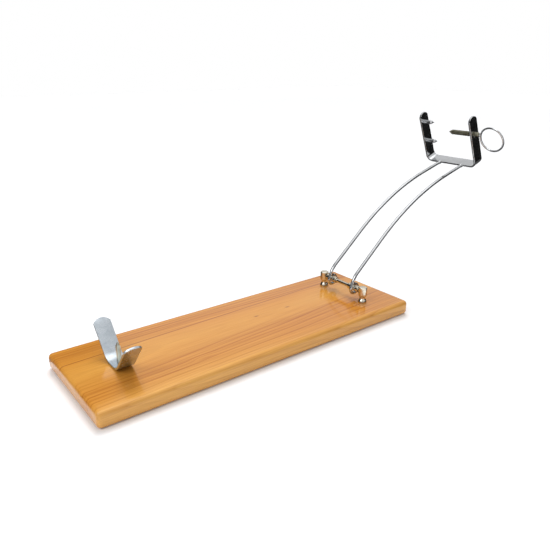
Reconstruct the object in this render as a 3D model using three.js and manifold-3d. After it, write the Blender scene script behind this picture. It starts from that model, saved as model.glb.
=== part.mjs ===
// Folding ham stand: a pine board with a V-shaped cradle and spike at one end and, at the other,
// an arm of two bent rods that swings on a cross bar and carries a screw clamp.
//
// Millimetres and degrees. +X runs along the board from the cradle to the arm, +Z is up, and the
// origin is the middle of the board's underside. "Near" is the -Y side and "far" the +Y side.

import * as THREE from 'three';
import { RoundedBoxGeometry } from 'three/addons/geometries/RoundedBoxGeometry.js';
import { mergeVertices } from 'three/addons/utils/BufferGeometryUtils.js';
import Module from 'manifold-3d';

const wasm = await Module();
wasm.setup();

// ---------------------------------------------------------------- driving dimensions

const GAP = 0.3; // running clearance between pieces that touch or turn on each other

const BOARD_LENGTH = 500;
const BOARD_WIDTH = 170;
const BOARD_THICKNESS = 22;
const BOARD_EDGE_RADIUS = 6;

const CRADLE_X = -187.5; // middle of the strip
const CRADLE_WIDTH = 22;
const CRADLE_THICKNESS = 3;
const CRADLE_FLOOR_HALF = 4; // flat floor, measured on the strip's underside
const CRADLE_WING_ANGLE = 50; // wings above the board
const CRADLE_WING_LENGTH = 46;
const CRADLE_END_RISE = 6; // how far the wings' round ends bulge
const CRADLE_BEND_RADIUS = 24; // outside of the bend

const SPIKE_SIDE = 5;
const SPIKE_HEIGHT = 32; // above the board
const SPIKE_POINT = 7;
const SPIKE_TAIL_DIAMETER = 5;

const HINGE_X = 190;
const EYE_Z = 38.2; // centre of the rods' eyes
const ROD_DIAMETER = 5;
const ROD_HALF_SPACING = 25; // at the eyes
const ROD_TOE_IN = 0.65; // each rod turns this far towards the other
const EYE_BORE = 9.8;
const BAR_DIAMETER = 6.4;
const COLLAR_DIAMETER = 10;
const COLLAR_LENGTH = 8;

const POST_HALF_SPACING = 44;
const POST_HEIGHT = 24;
const POST_HEAD_DIAMETER = 13;
const POST_WAIST_DIAMETER = 8.8;
const POST_FOOT_DIAMETER = 13.6;
const BAR_DEPTH_IN_POST = 8.5;

const CLAMP_TILT = 23.3; // the clamp's width direction above the horizontal
const CLAMP_STRIP_WIDTH = 19.2;
const CLAMP_STRIP_THICKNESS = 3;
const CLAMP_HALF_WIDTH = 50.6; // to the outside of its arms
const CLAMP_HEIGHT = 89;
const CLAMP_END_RISE = 7;
const CLAMP_BEND_RADIUS = 11; // outside of the bend

const CLAMP_SPIKE_DIAMETER = 6.5;
const CLAMP_SPIKE_REACH = 19.2; // from the arm's inner face to the tip
const CLAMP_SPIKE_POINT = 6;
const CLAMP_SPIKE_HEIGHTS = { lower: 36, upper: 72 };

const SCREW_HEIGHT = 58;
const SCREW_DIAMETER = 8;
const SCREW_POINT = 7;
const SCREW_TIP_Y = 0; // where the tip stands at rest
const SCREW_END_Y = -59.4; // where its domed outer end stands at rest
const RING_DIAMETER = 43.4;
const RING_WIRE = 3;
const RING_DROOP = 14; // the ring's middle is this far below the axis, seen from the dome's centre

const FASTENER_DIAMETER = 5;
const COUNTERBORE_DIAMETER = 13;
const COUNTERBORE_DEPTH = 7;
const WASHER_THICKNESS = 1;

const ROUND = 24; // sides of turned pieces and holes
const ROD_STEPS = 130;
const RING_STEPS = 48;
const RING_WIRE_SIDES = 10;

// ---------------------------------------------------------------- worked-out places

const BOARD_TOP = BOARD_THICKNESS;
const BAR_Z = EYE_Z + (EYE_BORE - BAR_DIAMETER) / 2 - GAP;
const EYE_RADIUS = (EYE_BORE + ROD_DIAMETER) / 2; // of the wire's centre line
const CLAMP_INNER_HALF = CLAMP_HALF_WIDTH - CLAMP_STRIP_THICKNESS;
const CLAMP_MIDDLE = CLAMP_STRIP_WIDTH / 2;

// ---------------------------------------------------------------- materials

const finishes = {
  pine: { color: 0xd9924a, roughness: 0.42, metalness: 0 },
  zinc: { color: 0xaab2b8, roughness: 0.34, metalness: 1 },
  nickel: { color: 0xc9bb9b, roughness: 0.18, metalness: 1 },
  polished: { color: 0xc4c6c8, roughness: 0.1, metalness: 1 },
  bronzed: { color: 0x6b6553, roughness: 0.38, metalness: 1 },
};

function namedMesh(name, geometry, finish) {
  const mesh = new THREE.Mesh(geometry, new THREE.MeshStandardMaterial(finishes[finish]));
  mesh.name = name;
  return mesh;
}

// ---------------------------------------------------------------- solids

function toSolid(geometry) {
  const bare = geometry.clone();
  bare.deleteAttribute('normal');
  bare.deleteAttribute('uv');
  const merged = mergeVertices(bare, 1e-4);
  return new wasm.Manifold(new wasm.Mesh({
    numProp: 3,
    vertProperties: merged.attributes.position.array,
    triVerts: new Uint32Array(merged.index.array),
  }));
}

function toGeometry(solid) {
  const mesh = solid.getMesh();
  const geometry = new THREE.BufferGeometry();
  geometry.setAttribute('position', new THREE.BufferAttribute(mesh.vertProperties, 3));
  geometry.setIndex(new THREE.BufferAttribute(mesh.triVerts, 1));
  geometry.computeVertexNormals();
  return geometry;
}

function cutAway(geometry, cutters) {
  const solid = cutters.reduce((left, cutter) => left.subtract(toSolid(cutter)), toSolid(geometry));
  return toGeometry(solid);
}

// A cylinder from z = bottom to z = top on the vertical through (x, y).
function uprightCylinder(diameter, bottom, top, x = 0, y = 0) {
  const geometry = new THREE.CylinderGeometry(diameter / 2, diameter / 2, top - bottom, ROUND);
  geometry.rotateX(Math.PI / 2);
  geometry.translate(x, y, (bottom + top) / 2);
  return geometry;
}

// A cylinder along Y from y = start to y = end, through (x, z).
function crossCylinder(diameter, start, end, x = 0, z = 0) {
  const geometry = new THREE.CylinderGeometry(diameter / 2, diameter / 2, end - start, ROUND);
  geometry.translate(x, (start + end) / 2, z);
  return geometry;
}

// Turns a profile of [radius, height] points about Z.
function turned(profile, sides = ROUND) {
  const points = profile.map(([radius, height]) => new THREE.Vector2(radius, height));
  const geometry = new THREE.LatheGeometry(points, sides);
  geometry.rotateX(Math.PI / 2);
  return geometry;
}

// Removes what lies beyond a round strip end: local X runs across the strip, Y beyond its end and
// Z through its thickness. The bulge touches local y = 0.
function roundEndCutter(stripWidth, rise, stripThickness) {
  const half = stripWidth / 2;
  const radius = (half * half + rise * rise) / (2 * rise);
  const spread = Math.asin(half / radius);
  const beyond = 6;
  const shape = new THREE.Shape();
  shape.moveTo(-half - 1, -rise);
  shape.lineTo(-half, -rise);
  shape.absarc(0, -radius, radius, Math.PI / 2 + spread, Math.PI / 2 - spread, true);
  shape.lineTo(half + 1, -rise);
  shape.lineTo(half + 1, beyond);
  shape.lineTo(-half - 1, beyond);
  shape.closePath();
  const depth = stripThickness + 4;
  const geometry = new THREE.ExtrudeGeometry(shape, { depth, bevelEnabled: false, curveSegments: 16 });
  geometry.translate(0, 0, -depth / 2);
  return geometry;
}

// Outline of a strip bent up at both ends, symmetrical about the vertical through the origin. Its
// underside is flat to floorHalf, where a bend of the given outside radius starts.
function bentStripOutline({ floorHalf, radius, thickness, angle, wing }) {
  const turn = THREE.MathUtils.degToRad(angle);
  const along = new THREE.Vector2(Math.cos(turn), Math.sin(turn));
  const bendEnd = new THREE.Vector2(floorHalf + radius * Math.sin(turn), radius * (1 - Math.cos(turn)));
  const outerTip = bendEnd.clone().addScaledVector(along, wing);
  const innerTip = outerTip.clone().add(new THREE.Vector2(-along.y, along.x).multiplyScalar(thickness));
  const inner = radius - thickness;
  const right = -Math.PI / 2;
  const shape = new THREE.Shape();
  shape.moveTo(-floorHalf, 0);
  shape.lineTo(floorHalf, 0);
  shape.absarc(floorHalf, radius, radius, right, right + turn, false);
  shape.lineTo(outerTip.x, outerTip.y);
  shape.lineTo(innerTip.x, innerTip.y);
  shape.absarc(floorHalf, radius, inner, right + turn, right, true);
  shape.lineTo(-floorHalf, thickness);
  shape.absarc(-floorHalf, radius, inner, right, right - turn, true);
  shape.lineTo(-innerTip.x, innerTip.y);
  shape.lineTo(-outerTip.x, outerTip.y);
  shape.absarc(-floorHalf, radius, radius, right - turn, right, false);
  return { shape, outerTip, innerTip };
}

// A strip bent up at both ends with round wing tips: X across the strip, Y along its floor.
function bentStrip({ stripWidth, thickness, rise, angle, ...bend }) {
  const outline = bentStripOutline({ thickness, angle, ...bend });
  const options = { depth: stripWidth, bevelEnabled: false, curveSegments: 8 };
  const strip = new THREE.ExtrudeGeometry(outline.shape, options);
  strip.translate(0, 0, -stripWidth / 2);
  strip.rotateX(Math.PI / 2);
  strip.rotateZ(Math.PI / 2);
  const tip = outline.outerTip.clone().add(outline.innerTip).multiplyScalar(0.5);
  const cutters = [1, -1].map((side) => {
    const cutter = roundEndCutter(stripWidth, rise, thickness);
    cutter.rotateX(THREE.MathUtils.degToRad(side > 0 ? angle : 180 - angle));
    cutter.translate(0, side * tip.x, tip.y);
    return cutter;
  });
  return cutAway(strip, cutters);
}

// ---------------------------------------------------------------- board

function boardGeometry() {
  const plank = new RoundedBoxGeometry(BOARD_LENGTH, BOARD_WIDTH, BOARD_THICKNESS, 3, BOARD_EDGE_RADIUS);
  plank.translate(0, 0, BOARD_THICKNESS / 2);
  const bolted = [
    [CRADLE_X, 0],
    [HINGE_X, -POST_HALF_SPACING],
    [HINGE_X, POST_HALF_SPACING],
  ];
  const holes = bolted.flatMap(([x, y]) => [
    uprightCylinder(FASTENER_DIAMETER + 2 * GAP, -1, BOARD_TOP + 1, x, y),
    uprightCylinder(COUNTERBORE_DIAMETER, -1, COUNTERBORE_DEPTH, x, y),
  ]);
  return cutAway(plank, holes);
}

// ---------------------------------------------------------------- cradle and its spike

function cradleMesh() {
  const strip = bentStrip({
    stripWidth: CRADLE_WIDTH,
    thickness: CRADLE_THICKNESS,
    rise: CRADLE_END_RISE,
    angle: CRADLE_WING_ANGLE,
    floorHalf: CRADLE_FLOOR_HALF,
    radius: CRADLE_BEND_RADIUS,
    wing: CRADLE_WING_LENGTH,
  });
  const hole = uprightCylinder(SPIKE_TAIL_DIAMETER + 2 * GAP, -1, CRADLE_THICKNESS + 1);
  const mesh = namedMesh('cradle', cutAway(strip, [hole]), 'zinc');
  mesh.position.set(CRADLE_X, 0, BOARD_TOP);
  return mesh;
}

// Square bar with a four-sided point, standing on the cradle's floor on a round tail.
function cradleSpikeMesh() {
  const barBottom = CRADLE_THICKNESS;
  const barTop = SPIKE_HEIGHT - SPIKE_POINT;
  const bar = new THREE.BoxGeometry(SPIKE_SIDE, SPIKE_SIDE, barTop - barBottom);
  bar.translate(0, 0, (barTop + barBottom) / 2);
  const point = new THREE.ConeGeometry(SPIKE_SIDE / Math.SQRT2, SPIKE_POINT, 4);
  point.rotateX(Math.PI / 2);
  point.rotateZ(Math.PI / 4);
  point.translate(0, 0, barTop + SPIKE_POINT / 2);
  const tailBottom = 1.5 - BOARD_TOP;
  const tail = uprightCylinder(SPIKE_TAIL_DIAMETER, tailBottom, barBottom + 1);
  const solid = toSolid(bar).add(toSolid(point)).add(toSolid(tail));
  const mesh = namedMesh('cradle_spike', toGeometry(solid), 'zinc');
  mesh.position.set(CRADLE_X, 0, BOARD_TOP);
  return mesh;
}

function washerMesh(name, x, y) {
  const disc = uprightCylinder(COUNTERBORE_DIAMETER - 2, -WASHER_THICKNESS, 0);
  const hole = uprightCylinder(FASTENER_DIAMETER + 2 * GAP, -2, 1);
  const mesh = namedMesh(name, cutAway(disc, [hole]), 'zinc');
  mesh.position.set(x, y, COUNTERBORE_DEPTH);
  return mesh;
}

function cradleNutMesh() {
  const acrossCorners = 9.2;
  const height = 3.6;
  const hexagon = new THREE.CylinderGeometry(acrossCorners / 2, acrossCorners / 2, height, 6);
  hexagon.rotateX(Math.PI / 2);
  const bore = uprightCylinder(SPIKE_TAIL_DIAMETER + 2 * GAP, -height, height);
  const mesh = namedMesh('cradle_nut', cutAway(hexagon, [bore]), 'zinc');
  mesh.position.set(CRADLE_X, 0, COUNTERBORE_DEPTH - WASHER_THICKNESS - height / 2);
  return mesh;
}

// ---------------------------------------------------------------- posts, cross bar and collars

function postProfile() {
  const head = POST_HEAD_DIAMETER / 2;
  const waist = POST_WAIST_DIAMETER / 2;
  const foot = POST_FOOT_DIAMETER / 2;
  return [
    [0, 0],
    [foot, 0],
    [foot, 1.4],
    [foot - 0.5, 3],
    [waist + 0.5, 5],
    [waist, 6.2],
    [waist, 7.6],
    [waist + 0.4, 8.6],
    [head - 0.5, 10.4],
    [head, 11.6],
    [head, POST_HEIGHT - 0.8],
    [head - 0.8, POST_HEIGHT],
    [0, POST_HEIGHT],
  ];
}

function postMesh(name, side) {
  const barZ = BAR_Z - BOARD_TOP;
  const face = -side * POST_HEAD_DIAMETER / 2;
  const ends = [face * 1.2, face + side * (BAR_DEPTH_IN_POST + GAP)].sort((a, b) => a - b);
  const barHole = crossCylinder(BAR_DIAMETER + 2 * GAP, ends[0], ends[1], 0, barZ);
  const tapped = uprightCylinder(FASTENER_DIAMETER + 2 * GAP, -1, 12);
  const mesh = namedMesh(name, cutAway(turned(postProfile()), [barHole, tapped]), 'nickel');
  mesh.position.set(HINGE_X, side * POST_HALF_SPACING, BOARD_TOP);
  return mesh;
}

function postScrewMesh(name, side) {
  const head = FASTENER_DIAMETER * 0.9;
  const shank = FASTENER_DIAMETER / 2;
  const headTop = COUNTERBORE_DEPTH - WASHER_THICKNESS;
  const profile = [
    [0, headTop - 3.2],
    [head - 1, headTop - 3.2],
    [head, headTop - 2],
    [head, headTop],
    [shank, headTop],
    [shank, BOARD_TOP + 10],
    [shank - 1, BOARD_TOP + 11],
    [0, BOARD_TOP + 11],
  ];
  const slot = new THREE.BoxGeometry(1.2, 2 * head + 2, 2.6);
  slot.translate(0, 0, headTop - 3.2);
  const mesh = namedMesh(name, cutAway(turned(profile), [slot]), 'zinc');
  mesh.position.set(HINGE_X, side * POST_HALF_SPACING, 0);
  return mesh;
}

function crossBarMesh() {
  const half = POST_HALF_SPACING - POST_HEAD_DIAMETER / 2 + BAR_DEPTH_IN_POST;
  const mesh = namedMesh('cross_bar', crossCylinder(BAR_DIAMETER, -half, half), 'nickel');
  mesh.position.set(HINGE_X, 0, BAR_Z);
  return mesh;
}

// A collar beside a rod's eye: outer ones lie towards the post, inner ones towards the middle.
function collarMesh(name, side, outward) {
  const middle = ROD_HALF_SPACING + outward * (ROD_DIAMETER / 2 + GAP + COLLAR_LENGTH / 2);
  const tube = crossCylinder(COLLAR_DIAMETER, -COLLAR_LENGTH / 2, COLLAR_LENGTH / 2);
  const bore = crossCylinder(BAR_DIAMETER + 2 * GAP, -COLLAR_LENGTH, COLLAR_LENGTH);
  const mesh = namedMesh(name, cutAway(tube, [bore]), 'nickel');
  mesh.position.set(HINGE_X, side * middle, BAR_Z);
  return mesh;
}

// ---------------------------------------------------------------- bent rods

// A wire bent in the XZ plane: stretches laid end to end, each turning clockwise by so many
// degrees over its length.
class BentWire extends THREE.Curve {
  constructor(start, heading, stretches) {
    super();
    this.start = start;
    this.heading = THREE.MathUtils.degToRad(heading);
    this.stretches = stretches;
    this.total = stretches.reduce((sum, { length }) => sum + length, 0);
  }

  getPoint(t, target = new THREE.Vector3()) {
    const { x, z } = this.walk(t * this.total);
    return target.set(x, 0, z);
  }

  walk(distance) {
    let left = distance;
    let { x, z } = this.start;
    let heading = this.heading;
    for (const { length, turn } of this.stretches) {
      const step = Math.min(left, length);
      const swing = THREE.MathUtils.degToRad(turn) * step / length;
      const mean = heading - swing / 2;
      const chord = swing === 0 ? step : step * Math.sin(swing / 2) / (swing / 2);
      x += chord * Math.cos(mean);
      z += chord * Math.sin(mean);
      heading -= swing;
      left -= step;
    }
    return { x, z, heading };
  }
}

const arcOf = (radius, turn) => ({ length: radius * THREE.MathUtils.degToRad(turn), turn });
const straight = (length) => ({ length, turn: 0 });

// The rod's wire in its own frame, with the eye's centre at the origin.
function rodWire() {
  const leaving = 68.7; // heading as it leaves the eye
  const wrap = 280; // how far the eye wraps round the bar
  const climb = 41.3; // heading of the long lower stretch
  const arriving = 16.6; // heading at the clamp
  const startAngle = THREE.MathUtils.degToRad(leaving + 90 + wrap);
  const start = { x: EYE_RADIUS * Math.cos(startAngle), z: EYE_RADIUS * Math.sin(startAngle) };
  return new BentWire(start, leaving + wrap, [
    arcOf(EYE_RADIUS, wrap),
    straight(8),
    arcOf(40, leaving - climb),
    straight(70),
    arcOf(390, climb - arriving),
    straight(44.4),
  ]);
}

const wire = rodWire();
const wireEnd = wire.walk(wire.total);

function rodMesh(name, side) {
  const section = new THREE.Shape();
  section.absarc(0, 0, ROD_DIAMETER / 2, 0, 2 * Math.PI, false);
  const options = { steps: ROD_STEPS, curveSegments: 4, extrudePath: wire };
  const mesh = namedMesh(name, new THREE.ExtrudeGeometry(section, options), 'polished');
  mesh.position.set(HINGE_X, side * ROD_HALF_SPACING, EYE_Z);
  mesh.rotation.z = -side * THREE.MathUtils.degToRad(ROD_TOE_IN);
  return mesh;
}

// ---------------------------------------------------------------- screw clamp

// Everything here is laid out in the clamp's own frame: X runs across the strip from its front
// edge, Y along the clamp screw and Z up the arms from the strip's underside.

function clampBracketMesh() {
  const strip = bentStrip({
    stripWidth: CLAMP_STRIP_WIDTH,
    thickness: CLAMP_STRIP_THICKNESS,
    rise: CLAMP_END_RISE,
    angle: 90,
    floorHalf: CLAMP_HALF_WIDTH - CLAMP_BEND_RADIUS,
    radius: CLAMP_BEND_RADIUS,
    wing: CLAMP_HEIGHT - CLAMP_BEND_RADIUS,
  });
  const studHole = CLAMP_SPIKE_DIAMETER - 1 + 2 * GAP;
  const outside = CLAMP_HALF_WIDTH + 1;
  const holes = Object.values(CLAMP_SPIKE_HEIGHTS).map((height) => (
    crossCylinder(studHole, CLAMP_INNER_HALF - 1, outside, 0, height)
  ));
  holes.push(crossCylinder(SCREW_DIAMETER + 2 * GAP, -outside, 1 - CLAMP_INNER_HALF, 0, SCREW_HEIGHT));
  const mesh = namedMesh('clamp_bracket', cutAway(strip, holes), 'polished');
  mesh.position.set(CLAMP_MIDDLE, 0, 0);
  return mesh;
}

// A pointed stud whose tail goes through the far arm and is peened over outside it.
function clampSpikeMesh(name, height) {
  const body = CLAMP_SPIKE_DIAMETER / 2;
  const neck = body - 0.5;
  const shoulder = CLAMP_SPIKE_REACH - GAP;
  const through = shoulder + CLAMP_STRIP_THICKNESS + 2 * GAP;
  const profile = [
    [0, 0],
    [body, CLAMP_SPIKE_POINT],
    [body, shoulder],
    [neck, shoulder],
    [neck, through],
    [body + 0.6, through],
    [body + 0.2, through + 1],
    [0, through + 1.5],
  ];
  const geometry = turned(profile, 20);
  geometry.rotateX(-Math.PI / 2);
  const mesh = namedMesh(name, geometry, 'polished');
  mesh.position.set(CLAMP_MIDDLE, CLAMP_INNER_HALF - CLAMP_SPIKE_REACH, height);
  return mesh;
}

// The screw points towards the far arm. Its outer end is a dome, which carries the ring.
function clampScrewMesh() {
  const radius = SCREW_DIAMETER / 2;
  const length = SCREW_TIP_Y - SCREW_END_Y;
  const domeSteps = 5;
  const dome = Array.from({ length: domeSteps + 1 }, (_, step) => {
    const angle = step / domeSteps * Math.PI / 2;
    return [radius * Math.sin(angle), radius * (1 - Math.cos(angle))];
  });
  const geometry = turned([...dome, [radius, length - SCREW_POINT], [0, length]]);
  geometry.rotateX(-Math.PI / 2);
  const mesh = namedMesh('clamp_screw', geometry, 'bronzed');
  mesh.position.set(CLAMP_MIDDLE, SCREW_END_Y, SCREW_HEIGHT);
  return mesh;
}

// The ring's outside meets the screw's dome a little below the screw's axis.
function ringHandleMesh() {
  const path = (RING_DIAMETER - RING_WIRE) / 2;
  const geometry = new THREE.TorusGeometry(path, RING_WIRE / 2, RING_WIRE_SIDES, RING_STEPS);
  geometry.rotateY(Math.PI / 2);
  const mesh = namedMesh('ring_handle', geometry, 'polished');
  const domeRadius = SCREW_DIAMETER / 2;
  const reach = domeRadius + GAP + RING_DIAMETER / 2;
  const droop = THREE.MathUtils.degToRad(RING_DROOP);
  const y = SCREW_END_Y + domeRadius - reach * Math.cos(droop);
  mesh.position.set(CLAMP_MIDDLE, y, SCREW_HEIGHT - reach * Math.sin(droop));
  return mesh;
}

// The rods end against the middle of the strip's front edge, so the wire's end places the clamp.
function clampGroup() {
  const group = new THREE.Group();
  group.add(
    clampBracketMesh(),
    clampSpikeMesh('clamp_spike_lower', CLAMP_SPIKE_HEIGHTS.lower),
    clampSpikeMesh('clamp_spike_upper', CLAMP_SPIKE_HEIGHTS.upper),
    clampScrewMesh(),
    ringHandleMesh(),
  );
  const tilt = THREE.MathUtils.degToRad(CLAMP_TILT);
  const slant = THREE.MathUtils.degToRad(CLAMP_TILT) - wireEnd.heading;
  const ahead = GAP + ROD_DIAMETER / 2 * Math.sin(slant); // clears the rods' square-cut ends
  const down = CLAMP_STRIP_THICKNESS / 2;
  group.position.set(
    HINGE_X + wireEnd.x + ahead * Math.cos(tilt) + down * Math.sin(tilt),
    0,
    EYE_Z + wireEnd.z + ahead * Math.sin(tilt) - down * Math.cos(tilt),
  );
  group.rotation.y = -tilt;
  return group;
}

// ---------------------------------------------------------------- assembly

const stand = new THREE.Group();
stand.add(namedMesh('base_board', boardGeometry(), 'pine'));
stand.add(cradleMesh(), cradleSpikeMesh(), washerMesh('cradle_washer', CRADLE_X, 0), cradleNutMesh());
stand.add(crossBarMesh());
for (const [place, side] of [['near', -1], ['far', 1]]) {
  stand.add(
    postMesh(`post_${place}`, side),
    postScrewMesh(`post_screw_${place}`, side),
    washerMesh(`post_washer_${place}`, HINGE_X, side * POST_HALF_SPACING),
    collarMesh(`collar_${place}_outer`, side, 1),
    collarMesh(`collar_${place}_inner`, side, -1),
    rodMesh(`arm_rod_${place}`, side),
  );
}
stand.add(clampGroup());

export default stand;
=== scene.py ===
"""Looks of the folding ham stand: a varnished pine board with a zinc cradle and spike, and a plated
arm of two bent rods that carries a spiked screw clamp.

Metres, in the CAD's frame: +X along the board towards the clamp, +Z up, near is the -Y side. Each
shape is rebuilt finely from the CAD node's own place and size, and rides on that node's body.
"""

import math

import bmesh
import bpy
from mathutils import Matrix, Vector


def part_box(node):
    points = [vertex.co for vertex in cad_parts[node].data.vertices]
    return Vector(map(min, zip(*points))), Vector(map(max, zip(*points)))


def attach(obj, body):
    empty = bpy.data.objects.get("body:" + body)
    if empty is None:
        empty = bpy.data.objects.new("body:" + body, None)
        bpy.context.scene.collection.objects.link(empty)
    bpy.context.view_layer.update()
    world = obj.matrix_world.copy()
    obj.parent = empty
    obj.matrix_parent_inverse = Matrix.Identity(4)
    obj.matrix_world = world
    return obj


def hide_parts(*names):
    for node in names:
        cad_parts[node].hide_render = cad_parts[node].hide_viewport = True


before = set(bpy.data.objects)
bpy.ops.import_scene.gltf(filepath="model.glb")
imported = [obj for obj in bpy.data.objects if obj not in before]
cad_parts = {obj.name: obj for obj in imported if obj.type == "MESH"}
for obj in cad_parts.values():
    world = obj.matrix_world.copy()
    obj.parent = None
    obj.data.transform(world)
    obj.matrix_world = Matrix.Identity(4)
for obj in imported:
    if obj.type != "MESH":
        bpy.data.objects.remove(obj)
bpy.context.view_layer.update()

MM = 0.001
SIDES = (("near", -1), ("far", 1))

# The arm's wire, as stretches of (length or bend radius in mm, degrees turned clockwise).
ROD_DIAMETER = 5 * MM
EYE_RADIUS = 7.4 * MM
ROD_LEAVING = 68.7
ROD_WRAP = 280
ROD_STRETCHES = ((8, 0), (40, 27.4), (70, 0), (390, 24.7), (44.4, 0))
ROD_HALF_SPACING = 25 * MM
ROD_TOE_IN = 0.65
EYE_HEIGHT = 38.2 * MM

CLAMP_TILT = math.radians(23.3)
STRIP_THICKNESS = 3 * MM
CLAMP_WIDTH = 19.2 * MM
CLAMP_HEIGHT = 89 * MM
CLAMP_HALF = 50.6 * MM
CLAMP_BEND = 11 * MM
CLAMP_END_RISE = 7 * MM
SPIKE_HEIGHTS = {"lower": 36 * MM, "upper": 72 * MM}
SCREW_HEIGHT = 58 * MM
SCREW_DIAMETER = 8 * MM
SCREW_PITCH = 1.25 * MM
RING_WIRE = 3 * MM
RING_DIAMETER = 43.4 * MM
GAP = 0.3 * MM

CRADLE_ANGLE = 50
CRADLE_FLOOR_HALF = 4 * MM
CRADLE_WING = 46 * MM
CRADLE_BEND = 24 * MM
CRADLE_END_RISE = 6 * MM

BOARD_EDGE_RADIUS = 6 * MM
COUNTERBORE_DIAMETER = 13 * MM
COUNTERBORE_DEPTH = 7 * MM
SCREW_HOLE = 5.6 * MM
SPIKE_HOLE = 6.1 * MM
SPIKE_POINT = 7 * MM
BAR_SOCKET = 7 * MM
BAR_SOCKET_DEPTH = 9 * MM
CUT_MARGIN = 1 * MM


# ---------------------------------------------------------------- mesh making


def middle(node):
    low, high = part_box(node)
    return (low + high) / 2


def mesh_object(name, vertices, faces):
    mesh = bpy.data.meshes.new(name)
    mesh.from_pydata(vertices, [], faces)
    built = bmesh.new()
    built.from_mesh(mesh)
    bmesh.ops.remove_doubles(built, verts=built.verts, dist=1e-6)
    bmesh.ops.recalc_face_normals(built, faces=built.faces)
    built.to_mesh(mesh)
    built.free()
    thing = bpy.data.objects.new(name, mesh)
    bpy.context.scene.collection.objects.link(thing)
    return thing


def block(name, low, high):
    """A box between two opposite corners."""
    corners = [(x, y, z) for x in (low[0], high[0]) for y in (low[1], high[1]) for z in (low[2], high[2])]
    faces = [(0, 1, 3, 2), (4, 6, 7, 5), (0, 4, 5, 1), (2, 3, 7, 6), (0, 2, 6, 4), (1, 5, 7, 3)]
    return mesh_object(name, corners, faces)


def place(thing, matrix):
    thing.data.transform(matrix)
    return thing


def stands_for(thing, body, finish, *nodes, sharp=32):
    """Gives the piece its finish and its body, and hides the CAD nodes that it is shown in place of."""
    slot, material = finish
    thing.data.materials.clear()
    thing.data.materials.append(material)
    thing.data.shade_smooth()
    thing.data.set_sharp_from_angle(angle=math.radians(sharp))
    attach(thing, body)
    if nodes:
        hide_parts(*nodes)
    return thing


def rounded(points, radius, steps=4, closed=False):
    """A 2-D outline with its corners turned into arcs. Ends of an open outline stay sharp."""
    points = [Vector(p) for p in points]
    count = len(points)
    out = []
    for index, corner in enumerate(points):
        if not closed and index in (0, count - 1):
            out.append(corner)
            continue
        before, after = points[index - 1], points[(index + 1) % count]
        back, ahead = before - corner, after - corner
        half_angle = back.angle(ahead) / 2
        if math.degrees(half_angle) > 88:
            out.append(corner)
            continue
        reach = min(radius / math.tan(half_angle), 0.45 * back.length, 0.45 * ahead.length)
        start, end = corner + back.normalized() * reach, corner + ahead.normalized() * reach
        for step in range(steps + 1):
            t = step / steps
            out.append(start * (1 - t) ** 2 + corner * 2 * t * (1 - t) + end * t**2)
    return out


def lathed(name, profile, segments=72, closed=False):
    """Turns a profile of (radius, height) about Z. A closed profile makes a ring."""
    rows = len(profile)
    vertices = [
        (r * math.cos(angle), r * math.sin(angle), h)
        for angle in (2 * math.pi * k / segments for k in range(segments))
        for r, h in profile
    ]
    faces = []
    for k in range(segments):
        here, after = k * rows, (k + 1) % segments * rows
        for i in range(rows if closed else rows - 1):
            j = (i + 1) % rows
            faces.append((here + i, after + i, after + j, here + j))
    return mesh_object(name, vertices, faces)


def along_y(length_start, place_at):
    """Turns a lathed piece's axis from Z to Y and puts its height 0 at y = length_start."""
    turn = Matrix.Rotation(-math.pi / 2, 4, "X")
    return Matrix.Translation((place_at[0], length_start, place_at[1])) @ turn


def cut(thing, cutter):
    """Subtracts the cutter, which is removed."""
    modifier = thing.modifiers.new("cut", "BOOLEAN")
    modifier.operation = "DIFFERENCE"
    modifier.solver = "EXACT"
    modifier.object = cutter
    bpy.context.view_layer.objects.active = thing
    bpy.ops.object.modifier_apply(modifier=modifier.name)
    bpy.data.objects.remove(cutter)
    return thing


def drill(thing, diameter, start, end):
    """Cuts a round hole through the piece from one point to the other."""
    start, end = Vector(start), Vector(end)
    length = (end - start).length
    rod = lathed("drill", [(0, 0), (diameter / 2, 0), (diameter / 2, length), (0, length)], 64)
    turn = (end - start).to_track_quat("Z", "Y").to_matrix().to_4x4()
    return cut(thing, place(rod, Matrix.Translation(start) @ turn))


def bevelled(thing, width, segments=3, angle=30):
    """Rounds the piece's sharp edges and applies that to its mesh."""
    modifier = thing.modifiers.new("bevel", "BEVEL")
    modifier.width = width
    modifier.segments = segments
    modifier.limit_method = "ANGLE"
    modifier.angle_limit = math.radians(angle)
    modifier.harden_normals = False
    bpy.context.view_layer.objects.active = thing
    bpy.ops.object.modifier_apply(modifier=modifier.name)
    return thing


def swept(name, points, tangents, radius, sides=24):
    """A round wire with flat ends, along points that all lie in a plane of constant y."""
    vertices = []
    for point, tangent in zip(points, tangents):
        across = Vector((0, 1, 0))
        up = across.cross(tangent).normalized()
        for k in range(sides):
            angle = 2 * math.pi * k / sides
            vertices.append(point + radius * (math.cos(angle) * across + math.sin(angle) * up))
    faces = []
    last = len(points) - 1
    for i in range(last):
        here, after = i * sides, (i + 1) * sides
        for k in range(sides):
            j = (k + 1) % sides
            faces.append((here + k, here + j, after + j, after + k))
    faces.append(tuple(range(sides)))
    faces.append(tuple(last * sides + k for k in range(sides)))
    return mesh_object(name, vertices, faces)


# ---------------------------------------------------------------- bent strips


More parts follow.
